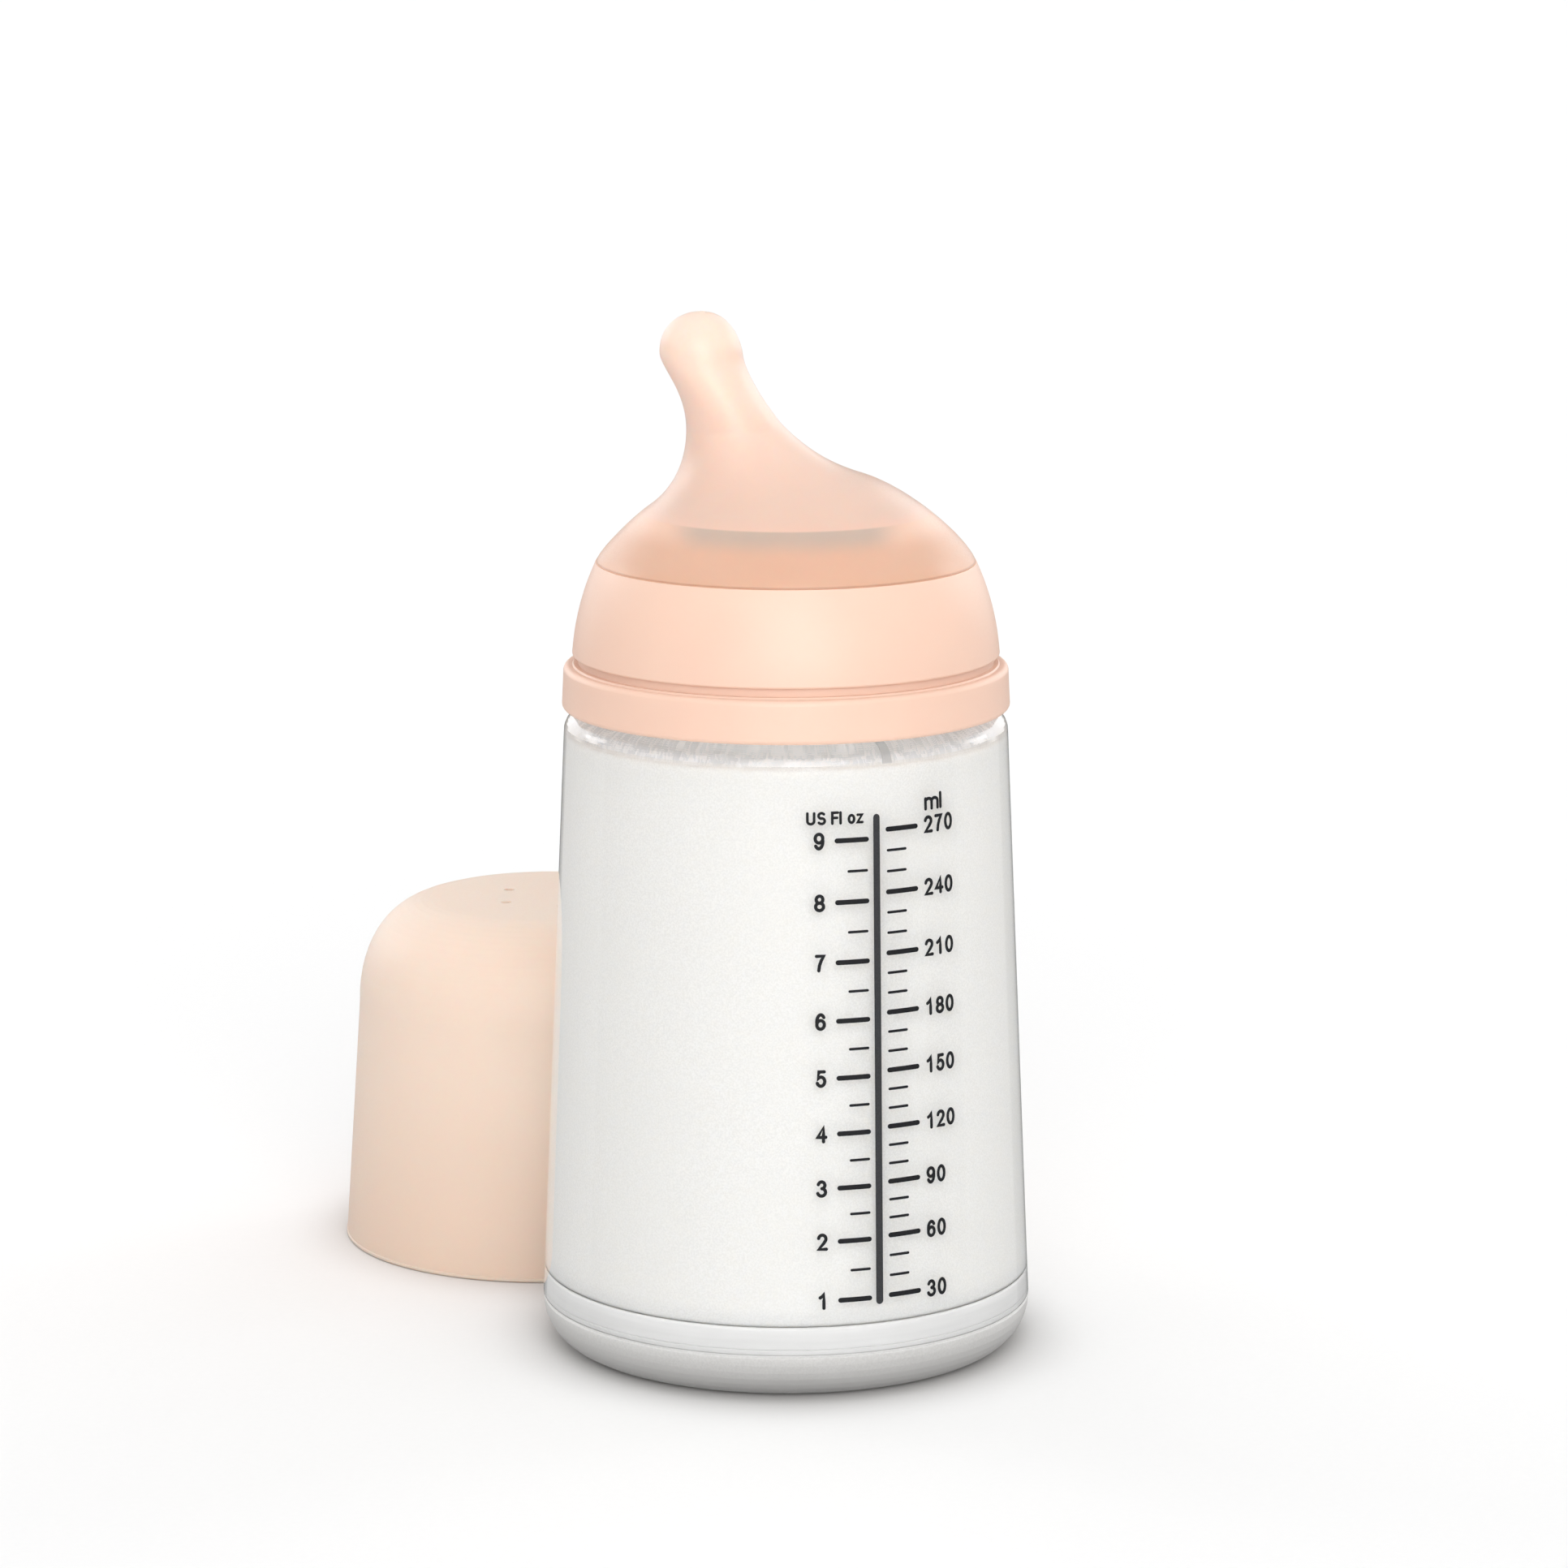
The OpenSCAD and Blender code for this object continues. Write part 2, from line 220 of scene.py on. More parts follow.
class Nodes:
    """A node tree under construction, with short ways to add sums to it."""

    def __init__(self, owner):
        owner.use_nodes = True
        self.nodes = owner.node_tree.nodes
        self.links = owner.node_tree.links

    def link(self, source, target):
        """Joins an output to an input."""
        self.links.new(source, target)

    def maths(self, operation, a, b=0.0):
        """One sum on sockets or numbers."""
        node = self.nodes.new("ShaderNodeMath")
        node.operation = operation
        for socket, value in zip(node.inputs, (a, b)):
            if isinstance(value, bpy.types.NodeSocket):
                self.link(value, socket)
            else:
                socket.default_value = value
        return node.outputs[0]

    def spread(self, source, low, high, to_low, to_high, shape="SMOOTHSTEP"):
        """Maps a range of values onto another, clamped, and smoothly unless the shape is LINEAR."""
        node = self.nodes.new("ShaderNodeMapRange")
        node.interpolation_type = shape
        ends = {"From Min": low, "From Max": high, "To Min": to_low, "To Max": to_high}
        for name, value in ends.items():
            node.inputs[name].default_value = value
        self.link(source, node.inputs["Value"])
        return node.outputs["Result"]

    def split(self, vector):
        """The three coordinates of a vector."""
        parts = self.nodes.new("ShaderNodeSeparateXYZ")
        self.link(vector, parts.inputs["Vector"])
        return parts.outputs["X"], parts.outputs["Y"], parts.outputs["Z"]

    def bearing(self, x, y):
        """Bearing of a point or a direction from the front towards +X, in radians."""
        return self.maths("ARCTAN2", x, self.maths("MULTIPLY", y, -1))

    def radius(self, x, y):
        """Distance from the bottle's axis, in metres."""
        squares = self.maths("ADD", self.maths("MULTIPLY", x, x), self.maths("MULTIPLY", y, y))
        return self.maths("SQRT", squares)


class Material(Nodes):
    """A node material under construction: a Principled shader and short ways to paint it."""

    def __init__(self, name):
        self.material = bpy.data.materials.new(name)
        super().__init__(self.material)
        self.shader = self.nodes["Principled BSDF"]
        self.output = self.nodes["Material Output"]
        self.place = self.nodes.new("ShaderNodeTexCoord").outputs["Object"]

    def set(self, **values):
        """Sets plain values on the shader; an input's name has _ for each space."""
        for name, value in values.items():
            self.shader.inputs[name.replace("_", " ")].default_value = value

    def noise(self, scale, detail=2.0, stretch=(1, 1, 1), twist=0.0):
        """Noise whose grains are about 1 / scale metres across; twist turns them into curls."""
        mapping = self.nodes.new("ShaderNodeMapping")
        mapping.inputs["Scale"].default_value = stretch
        texture = self.nodes.new("ShaderNodeTexNoise")
        texture.inputs["Scale"].default_value = scale
        texture.inputs["Detail"].default_value = detail
        texture.inputs["Distortion"].default_value = twist
        self.link(self.place, mapping.inputs["Vector"])
        self.link(mapping.outputs["Vector"], texture.inputs["Vector"])
        return texture.outputs["Fac"]

    def height_share(self, low, high):
        """0 below a height and 1 above another, in millimetres, rising smoothly between them."""
        return self.spread(self.split(self.place)[2], low * MM, high * MM, 0, 1)

    def blend(self, factor, a, b):
        """A colour that runs from a to b; each is a colour or a socket."""
        node = self.nodes.new("ShaderNodeMix")
        node.data_type = "RGBA"
        self.link(factor, node.inputs["Factor"])
        for socket, value in ((node.inputs[6], a), (node.inputs[7], b)):
            if isinstance(value, bpy.types.NodeSocket):
                self.link(value, socket)
            else:
                socket.default_value = (*value, 1)
        return node.outputs[2]

    def full(self, texture):
        """A noise texture's usual range, stretched to 0 to 1."""
        return self.spread(texture, 0.3, 0.7, 0, 1)

    def colour(self, socket):
        """Makes a socket the colour of the surface."""
        self.link(socket, self.shader.inputs["Base Color"])

    def roughness(self, source, low, high):
        """Lets a noise texture run the roughness from low to high."""
        self.link(self.spread(source, 0.3, 0.7, low, high), self.shader.inputs["Roughness"])

    def bump(self, height, distance, strength=1.0):
        """Surface relief of a height in millimetres, laid on the relief added before it."""
        node = self.nodes.new("ShaderNodeBump")
        node.inputs["Strength"].default_value = strength
        node.inputs["Distance"].default_value = distance * MM
        self.link(height, node.inputs["Height"])
        before = self.shader.inputs["Normal"]
        if before.is_linked:
            self.link(before.links[0].from_socket, node.inputs["Normal"])
        self.link(node.outputs["Normal"], before)

    def pass_light(self, tint, open_share=0.0):
        """Lets light rays straight through, so that lamps reach what is behind clear plastic.

        open_share is how far other rays pass unbent too.
        """
        path = self.nodes.new("ShaderNodeLightPath")
        light = self.maths("MAXIMUM", path.outputs["Is Shadow Ray"], path.outputs["Is Diffuse Ray"])
        open_shader = self.nodes.new("ShaderNodeBsdfTransparent")
        open_shader.inputs["Color"].default_value = (*tint, 1)
        mix = self.nodes.new("ShaderNodeMixShader")
        self.link(self.maths("MAXIMUM", light, open_share), mix.inputs["Fac"])
        self.link(self.shader.outputs["BSDF"], mix.inputs[1])
        self.link(open_shader.outputs["BSDF"], mix.inputs[2])
        self.link(mix.outputs["Shader"], self.output.inputs["Surface"])


def bag_contact(m):
    """1 on the wall's inner faces, where bag or foot cling and nothing bends the light, else 0."""
    x, y, z = m.split(m.place)
    cone = m.maths("SUBTRACT", (FOOT_R + DRAFT * FOOT_Z) * MM, m.maths("MULTIPLY", z, DRAFT))
    depth = m.maths("SUBTRACT", cone, m.radius(x, y))
    deep = m.spread(depth, 0.8 * MM, 0.9 * MM, 0, 1)
    shoulder_under_z = SHOULDER_Z - WALL
    below = m.spread(z, (shoulder_under_z + 0.2) * MM, (shoulder_under_z + 0.4) * MM, 1, 0)
    above = m.spread(z, (FOOT_Z + 0.02) * MM, (FOOT_Z + 0.08) * MM, 0, 1)
    return m.maths("MULTIPLY", deep, m.maths("MULTIPLY", below, above))


def index_mark(m):
    """1 on the frosted rib over the shoulder's edge, and 0 elsewhere."""
    x, y, z = m.split(m.place)
    off = m.maths("ABSOLUTE", m.maths("SUBTRACT", m.bearing(x, y), math.radians(INDEX_BEARING)))
    half = INDEX_WIDTH / 2
    near = m.spread(off, math.radians(half), math.radians(half + 0.1), 1, 0)
    outside = m.spread(y, -25.5 * MM, -25 * MM, 1, 0)
    high = m.spread(z, (WALL_TOP_Z + 0.4) * MM, (WALL_TOP_Z + 0.5) * MM, 0, 1)
    return m.maths("MULTIPLY", near, m.maths("MULTIPLY", outside, high))


def clear_plastic():
    """Clear copolyester of the housing: glossy, with faint flow waves and fine wear."""
    m = Material("clear_copolyester")
    m.set(IOR=1.49, Transmission_Weight=1.0)
    mark = index_mark(m)
    m.colour(m.blend(mark, (0.985, 0.985, 0.985), (0.56, 0.56, 0.56)))
    wear = m.spread(m.noise(240, 3), 0.3, 0.7, 0, 0.05)
    m.link(m.maths("ADD", wear, m.maths("MULTIPLY", mark, 0.5)), m.shader.inputs["Roughness"])
    m.bump(m.noise(55, 1, (1, 1, 0.4)), 0.03)
    m.bump(m.noise(2600, 2), 0.0008)
    m.pass_light((0.96, 0.96, 0.96), bag_contact(m))
    return m.material


def bag_glow(m, fibres):
    """Painted glow that brightens the bag's upper face in the shade under the collar's flange, most of it
    near the neck.
    """
    x, y, _ = m.split(m.place)
    inner = m.spread(m.radius(x, y), 27 * MM, 31 * MM, 0.33, 0.1)
    return m.maths("MULTIPLY", inner, m.spread(fibres, 0, 1, 0.8, 1.1))


def frosted_silicone():
    """Milk bag: milky translucent silicone with a fine sparkling grain, and a painted glow on its upper
    face.
    """
    m = Material("frosted_silicone")
    m.set(IOR=1.41, Subsurface_Weight=0.65, Subsurface_Radius=(1.0, 0.92, 0.8), Subsurface_Scale=0.003)
    grain = m.noise(3800, 1)
    cloud = m.noise(60, 3)
    body = m.blend(m.full(grain), (0.85, 0.83, 0.78), (0.93, 0.91, 0.86))
    body = m.blend(m.spread(cloud, 0.3, 0.7, 0, 0.3), body, (0.885, 0.862, 0.80))
    on_top = m.height_share(BAG_TOP_Z - 0.9, BAG_TOP_Z - 0.4)
    fibres = m.spread(m.noise(1300, 2, (1, 0.6, 0.6), 1.2), 0.45, 0.60, 0, 1)
    crumpled = m.blend(fibres, (0.78, 0.81, 0.83), (0.96, 0.97, 0.975))
    m.colour(m.blend(on_top, body, crumpled))
    # Painted light: the upper face glows, though it is no lamp, to lift the shade under the flange.
    m.set(Emission_Color=(0.93, 1.0, 0.99, 1))
    m.link(m.maths("MULTIPLY", on_top, bag_glow(m, fibres)), m.shader.inputs["Emission Strength"])
    m.roughness(grain, 0.42, 0.6)
    m.bump(m.maths("MULTIPLY", fibres, on_top), 0.025)
    m.bump(m.noise(420, 3), 0.012)
    m.bump(grain, 0.01)
    return m.material


def frosted_foot():
    """Base cup: frosted polypropylene, grey in its depth, with a sandblasted grain and painted shade on its
    rounded underside.
    """
    m = Material("frosted_polypropylene")
    m.set(IOR=1.49, Subsurface_Weight=0.6)
    m.set(Subsurface_Radius=(1.0, 1.0, 0.98), Subsurface_Scale=0.003)
    grain = m.noise(3000, 2)
    foot = m.blend(m.full(grain), (0.49, 0.485, 0.475), (0.54, 0.535, 0.525))
    # Painted shade: darker towards the bottom of the rounded foot, near the table.
    low = m.blend(m.height_share(1.0, FOOT_Z), (0.36, 0.355, 0.35), foot)
    ring = m.blend(m.noise(900, 1, (0.05, 0.05, 1)), (0.72, 0.72, 0.71), (0.88, 0.88, 0.87))
    m.colour(m.blend(m.height_share(FOOT_Z + 0.05, FOOT_Z + 0.15), low, ring))
    m.roughness(grain, 0.45, 0.6)
    m.bump(grain, 0.006)
    m.bump(m.noise(90, 2), 0.02)
    return m.material


def peach_plastic():
    """Collar: opaque peach polypropylene with a satin moulded skin."""
    m = Material("peach_polypropylene")
    m.set(IOR=1.49, Subsurface_Weight=0.15, Subsurface_Radius=(1.0, 0.55, 0.4), Subsurface_Scale=0.002)
    cloud = m.noise(45, 3)
    grain = m.noise(2600, 2)
    m.colour(m.blend(m.full(cloud), (0.77, 0.525, 0.415), (0.785, 0.545, 0.43)))
    m.roughness(grain, 0.38, 0.46)
    m.bump(grain, 0.0035)
    m.bump(m.noise(160, 2), 0.006)
    return m.material


def peach_silicone():
    """Teat: soft translucent peach silicone, matt from its fine moulded texture, with painted shade and
    light in its colour.
    """
    m = Material("peach_silicone")
    m.set(IOR=1.41, Transmission_Weight=0.1, Subsurface_Weight=0.8)
    m.set(Subsurface_Radius=(1.0, 0.6, 0.4), Subsurface_Scale=0.003)
    cloud = m.noise(70, 3)
    grain = m.noise(3200, 2)
    # Painted light and shade: darker low on the teat, where its empty inside shows, lighter towards the
    # thin tip.
    tip = m.blend(m.height_share(130, 152), (0.69, 0.505, 0.415), (0.82, 0.66, 0.565))
    # Painted shade: the cone's rim seen through the skirt, a grey shade under it that fades out to the
    # sides, over the saturated peach of the cone showing through below.
    x = m.split(m.place)[0]
    aside = m.spread(m.maths("ABSOLUTE", x), 12 * MM, 18.5 * MM, 0, 1)
    rim_shade = m.blend(aside, (0.47, 0.39, 0.325), (0.71, 0.51, 0.395))
    painted_cone_and_rim_shade = m.blend(m.height_share(CONE_RIM_Z - 3, CONE_RIM_Z), (0.62, 0.41, 0.295), rim_shade)
    skin = m.blend(m.height_share(CONE_RIM_Z + 0.4, CONE_RIM_Z + 0.7), painted_cone_and_rim_shade, tip)
    # Painted shade in the seam where the skirt meets the collar.
    skin = m.blend(m.height_share(SEAM_Z + 0.15, SEAM_Z + 0.45), (0.40, 0.24, 0.17), skin)
    m.colour(m.blend(m.spread(cloud, 0.3, 0.7, 0, 0.1), skin, (0.80, 0.60, 0.48)))
    m.roughness(grain, 0.28, 0.4)
    m.bump(grain, 0.004)
    m.bump(m.noise(300, 2), 0.008)
    m.pass_light((0.93, 0.8, 0.72))
    return m.material


def peach_cap():
    """Cap: thin frosted peach polypropylene that lets some light through."""
    m = Material("frosted_peach_cap")
    m.set(IOR=1.49, Transmission_Weight=0.1, Subsurface_Weight=0.7)
    m.set(Subsurface_Radius=(1.0, 0.6, 0.45), Subsurface_Scale=0.003)
    cloud = m.noise(38, 3)
    grain = m.noise(2800, 2)
    skin = m.blend(m.full(cloud), (0.90, 0.67, 0.56), (0.92, 0.695, 0.585))
    # Painted shade: the cap darkens towards the bottom.
    m.colour(m.blend(m.height_share(0, 40), (0.82, 0.595, 0.48), skin))
    m.roughness(grain, 0.42, 0.55)
    m.bump(grain, 0.005)
    m.bump(m.noise(120, 2), 0.01)
    return m.material


def printed_ink(name, grain_scale, dark, light):
    """Pad-printed ink of the scale: nearly black, thin, with a soft gloss and pinholes."""
    m = Material(name)
    m.set(IOR=1.5, Specular_IOR_Level=0.2)
    grain = m.noise(grain_scale, 2)
    m.colour(m.blend(m.spread(grain, 0.35, 0.65, 0, 1), dark, light))
    m.roughness(grain, 0.5, 0.65)
    m.bump(grain, 0.003)
    return m.material


def studio_floor():
    """Plain white table, matt, with a faint paper tooth and a painted contact shadow near what stands on
    it.
    """
    m = Material("white_table")
    m.set(Roughness=0.9, Specular_IOR_Level=0.1)
    tooth = m.noise(900, 2)
    # Painted contact shadow: ambient occlusion darkens the table round the bottle and cap.
    painted_contact_shade = m.nodes.new("ShaderNodeAmbientOcclusion")
    painted_contact_shade.inputs["Distance"].default_value = 14 * MM
    white = m.blend(tooth, (0.82, 0.82, 0.82), (0.84, 0.84, 0.84))
    m.colour(m.blend(m.spread(painted_contact_shade.outputs["AO"], 0.3, 1.0, 0, 1), (0.62, 0.61, 0.60), white))
    m.bump(tooth, 0.01)
    return m.material


# ---- Pieces ----


def bag_profile():
    """Half outline of the bag, from its underside round the lip and back down the inside."""
    foot_round = 0.5
    top_round = 2.0
    neck_round = 0.5
    lip_low_z = 110.3
    lip_r = NECK_R - 0.9
    lip_round = 0.25
    rim_round = 0.5
    neck_lift = 0.05
    low_r = wall_r(BAG_Z) - WALL - BAG_GAP - foot_round
    high_r = wall_r(BAG_TOP_Z) - WALL - BAG_GAP - top_round
    inner_round = top_round - BAG_WALL
    inner_neck_r = BAG_NECK_R - BAG_WALL
    outside = (
        straight((0, BAG_Z), (low_r, BAG_Z), 12)[:-1]
        + arc(low_r, BAG_Z + foot_round, foot_round, -90, 0, 10)
        + straight(
            (low_r + foot_round, BAG_Z + foot_round), (high_r + top_round, BAG_TOP_Z - top_round), 60
        )[1:-1]
        + arc(high_r, BAG_TOP_Z - top_round, top_round, 0, 90, 10)
        + straight((high_r, BAG_TOP_Z), (BAG_NECK_R + neck_round, BAG_TOP_Z), 14)[1:-1]
        + arc(BAG_NECK_R + neck_round, BAG_TOP_Z + neck_round, neck_round, 270, 180, 4)
        + [(BAG_NECK_R, NECK_Z + neck_lift), (lip_r, NECK_Z + neck_lift), (lip_r, lip_low_z)]
        + arc(NECK_R - lip_round, lip_low_z + lip_round, lip_round, -90, 0, 3)
        + arc(NECK_R - rim_round, BAG_RIM_Z - rim_round, rim_round, 0, 90, 5)
    )
    inside = (
        arc(inner_neck_r + rim_round, BAG_RIM_Z - rim_round, rim_round, 90, 180, 5)
        + [(inner_neck_r, BAG_TOP_Z)]
        + arc(inner_neck_r + neck_round, BAG_TOP_Z - BAG_WALL + neck_round, neck_round, 180, 270, 3)
        + arc(high_r, BAG_TOP_Z - top_round, inner_round, 90, 0, 6)
        + straight(
            (high_r + inner_round, BAG_TOP_Z - top_round),
            (low_r + foot_round - BAG_WALL, BAG_Z + foot_round),
            60,
        )[1:-1]
        + arc(low_r, BAG_Z + foot_round, foot_round - BAG_WALL, 0, -90, 6)
        + straight((low_r, BAG_Z + BAG_WALL), (0, BAG_Z + BAG_WALL), 12)[1:]
    )
    return outside + inside


def bag_shift(angle, r, z):
    """Soft unevenness of the hanging bag, its sagging bottom edge and its crumpled upper face."""
    around = Vector((math.cos(angle), math.sin(angle), 0))
    sag, sag_r, sag_z = 0.75, 30, BAG_Z + 1.2
    if z < sag_z and r > sag_r:
        return 0, -sag * min(1.0, (r - sag_r) / 3) * min(1.0, sag_z - z)
    hanging = BAG_Z + 2 < z < BAG_TOP_Z - 3 and r > BAG_NECK_R + 2
    if hanging:
        wave, inwards = 0.07, 0.03
        place = around * 1.3 + Vector((0, 0, z * 0.03))
        return wave * noise.noise(place) - inwards, 0
    folds_r = BAG_NECK_R + 0.6
    on_top = BAG_TOP_Z - 2.2 < z < BAG_TOP_Z + 0.5 and folds_r < r < 31.5
    if on_top:
        fold, sink = 0.28, 0.12
        place = around * 26 + Vector((0, 0, r * 0.8))
        fade = min(1.0, (r - folds_r) / 0.8)
        return 0, fold * fade * noise.noise(place) - sink * fade
    return 0, 0


def make_bag(material):
    """The bag as a fine lathe that rides on the bottle in place of the plain CAD bag."""
    piece = lathe("silicone_milk_bag", bag_profile(), 288, bag_shift)
    piece.data.materials.append(material)
    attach(piece, "bottle")
    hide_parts("milk_bag")


# The teat's two outlines as seen from the front, each a chain of four cubic curves
LEAN_SIDE = Chain([
    (-28.8, 121.8), (-28.4, 123.2), (-23.4, 128.2), (-21.1, 129.8),
    (-17, 132.7), (-15.1, 137), (-15.1, 141.8),
    (-15.1, 147.9), (-19.1, 151.3), (-19.1, 153.6),
    (-19.1, 157.9), (-15.7, 159.7), (-12.8, 159.7),
])
LONG_SIDE = Chain([
    (28.8, 121.8), (28, 124.4), (19.8, 132.2), (12.2, 134.7),
    (6, 136.6), (2.7, 139.3), (-0.4, 142.3),
    (-1.5, 143.5), (-6.1, 149.6), (-6.5, 153.2),
    (-6.9, 155.9), (-8.7, 159.7), (-12.8, 159.7),
])
TEAT_SIDES = 128


def ring(a, b):
    """A circle whose diameter runs from a to b, both in the X-Z plane."""
    mid = (a + b) / 2
    half = (b - a) / 2
    angles = [2 * math.pi * j / TEAT_SIDES for j in range(TEAT_SIDES)]
    return [
        (mid.x + half.x * math.cos(t), half.length * math.sin(t), mid.y + half.y * math.cos(t))
        for t in angles
    ]


def round_ring(r, z):
    """A level circle about the bottle's axis."""
    return ring(Vector((-r, z)), Vector((r, z)))


def steps(start, end, count):
    """Evenly spaced values from start to end, both included."""
    return [start + (end - start) * i / count for i in range(count + 1)]


def cone_arc(foot, rim, count):
    """Points on the collar cone's slight bulge, of 34 mm radius, from its foot up to its rim."""
    bulge_r = 34.0
    foot, rim = Vector(foot), Vector(rim)
    chord = rim - foot
    half = chord.length / 2
    normal = Vector((chord.y, -chord.x)).normalized()
    centre = (foot + rim) / 2 - normal * math.sqrt(bulge_r**2 - half**2)
    start = math.degrees(math.atan2(foot.y - centre.y, foot.x - centre.x))
    end = math.degrees(math.atan2(rim.y - centre.y, rim.x - centre.x))
    return arc(centre.x, centre.y, bulge_r, start, end, count)


def make_teat(material):
    """Hollow teat: skin outside, feeding hole, inside wall, sealing flange and the skirt's underside."""
    tip = Vector((TIP_X, TIP_Z))
    hole = Vector((HOLE_R, 0))
    tip_under = tip - Vector((0, TEAT_WALL))
    outside = [ring(LEAN_SIDE.at(t), LONG_SIDE.at(t)) for t in steps(0.0, 3.86, 110)]
    inside = [
        ring(LEAN_SIDE.inset(t, TEAT_WALL, 1), LONG_SIDE.inset(t, TEAT_WALL, -1))
        for t in steps(3.8, 1.375, 50)
    ]
    bore = [
        ring(Vector((-17, 128.9)), Vector((14.2, 131.4))),
        round_ring(17, 127.4), round_ring(17.3, 124.5), round_ring(21.4, 118),
        round_ring(21.8, TEAT_FLANGE_Z),
    ]
    edge = 0.25
    flange = [
        round_ring(TEAT_FLANGE_R - edge, TEAT_FLANGE_Z), round_ring(TEAT_FLANGE_R, TEAT_FLANGE_Z + edge),
        round_ring(TEAT_FLANGE_R, TEAT_CLAMP_Z - edge), round_ring(TEAT_FLANGE_R - edge, TEAT_CLAMP_Z),
        round_ring(24.9, TEAT_CLAMP_Z), round_ring(24.9, 119.4),
        round_ring(19.05, 126.1), round_ring(19.05, CONE_RIM_Z),
    ]
    under = cone_arc((27.15, SEAM_Z + 0.1), (CONE_RIM_R, CONE_RIM_Z + 0.3), 10)
    skirt = [round_ring(r, z) for r, z in reversed(under)]
    rings = outside + [ring(tip - hole, tip + hole), ring(tip_under - hole, tip_under + hole)]
    piece = loft("silicone_teat", rings + inside + bore + flange + skirt)
    piece.data.materials.append(material)
    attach(piece, "teat")
    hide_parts("teat")


# ---- Printed scale ----

INK = 0.035
INK_LIFT = 0.005
BAR_BEARING = 22.0  # degrees from the front towards +X, at the bar's foot
BAR_LEAN = 0.012  # degrees for each millimetre of height
BAR_WIDTH = 1.12
LONG_TICK, SHORT_TICK = 0.74, 0.4
NUMBER_HEIGHT, NUMBER_STROKE = 2.66, 0.5

# Columns beside the bar, in millimetres to its right
ML_TICK_FROM, ML_LONG_TO, ML_SHORT_TO = 1.85, 6.65, 4.8
OUNCE_LONG_FROM, OUNCE_SHORT_FROM, OUNCE_TICK_TO = -6.15, -4.4, -1.6
ML_NUMBERS_FROM = 8.2
OUNCE_NUMBERS_FROM = -9.7
ML_SIGN = ("ml", 8.3, 88.4, 2.6, 0.48)
OUNCE_SIGN = ("US Fl oz", -10.75, 87.5, 2.0, 0.4)

FIRST_ML = 60
FIRST_ML_Z = 25.0
ROUND_SPREAD = 0.037
ML_IN_OUNCE = 29.57
MILK_CLEARANCE = 2.66
SCALE_TOP_Z = 88.2
SCALE_LOW_Z = 15.2


def fill_height(ml):
    """Height of the milk's surface for a volume, from the cone that the bag makes inside the wall.

    Under the first 60 ml the bag's rounded bottom holds less, so the marks spread out.
    """
    low_r = wall_r(FIRST_ML_Z) - MILK_CLEARANCE
    volume = (ml - FIRST_ML) * 1000
    high_r = (low_r**3 - 3 * DRAFT * volume / math.pi) ** (1 / 3)
    return FIRST_ML_Z + (low_r - high_r) / DRAFT - ROUND_SPREAD * max(0, FIRST_ML - ml)


def on_wall(bearing, z, lift):
    """Point on the clear wall at a bearing from the front towards +X, in degrees, and a height."""
    a = math.radians(bearing)
    r = wall_r(z) + lift
    return (r * math.sin(a), -r * math.cos(a), z)


def from_bar(mm, z):
    """Bearing of a point some millimetres to the right of the scale's bar, at a height."""
    return BAR_BEARING + BAR_LEAN * (z - SCALE_LOW_Z) + math.degrees(mm / wall_r(z))


class Ink:
    """Collects flat strokes laid on the wall, then makes them into one thin closed mesh."""

    def __init__(self):
        self.points = []
        self.faces = []

    def stroke(self, line, width, closed=False):
        """A stroke of a width along (bearing, z) points; an open one gets round ends."""
        left, right = edges_of(line, width, closed)
        n = len(left)
        base = len(self.points)
        for side in (left, right):
            self.points += [on_wall(b, z, INK_LIFT + INK) for b, z in side]
            self.points += [on_wall(b, z, INK_LIFT) for b, z in side]
        left_up, left_low, right_up, right_low = (base + k * n for k in range(4))
        for i in range(n if closed else n - 1):
            j = (i + 1) % n
            self.faces += [
                (right_up + i, right_up + j, left_up + j, left_up + i),
                (left_low + i, left_low + j, right_low + j, right_low + i),
                (left_up + i, left_up + j, left_low + j, left_low + i),
                (right_low + i, right_low + j, right_up + j, right_up + i),
            ]
        if not closed:
            self.faces += [
                (right_low, right_up, left_up, left_low),
                (right_up + n - 1, right_low + n - 1, left_low + n - 1, left_up + n - 1),
            ]

    def piece(self, name, material):
        """Makes the strokes laid so far into a piece that rides on the bottle."""
        made = mesh_object(name, self.points, self.faces, 30)
        made.data.materials.append(material)
        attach(made, "bottle")
        return made


def edges_of(line, width, closed):
    """Left and right edges of a stroke. Bearings count in millimetres along the wall at the first point."""
    per_degree = math.radians(1) * wall_r(line[0][1])
    sharpest = 0.6
    same_point = 1e-9
    flat = [Vector((b * per_degree, z)) for b, z in line]
    half = width / 2
    if not closed:
        flat = rounded_ends(flat, half)
    n = len(flat)
    left, right = [], []
    for i in range(n):
        before = flat[i - 1] if closed or i > 0 else flat[i]
        after = flat[(i + 1) % n] if closed or i < n - 1 else flat[i]
        way_in = (flat[i] - before).normalized() if (flat[i] - before).length > same_point else None
        way_out = (after - flat[i]).normalized() if (after - flat[i]).length > same_point else None
        way = ((way_in or way_out) + (way_out or way_in)).normalized()
        stretch = 1 / max(sharpest, way.dot(way_out or way_in))
        reach = half * stretch * end_share(i, n, closed)
        across = Vector((-way.y, way.x)) * reach
        left.append(flat[i] + across)
        right.append(flat[i] - across)
    return (
        [(p.x / per_degree, p.y) for p in left],
        [(p.x / per_degree, p.y) for p in right],
    )


END_STEPS = 4
END_SWEEP = 88  # degrees of the quarter circle that an end narrows along


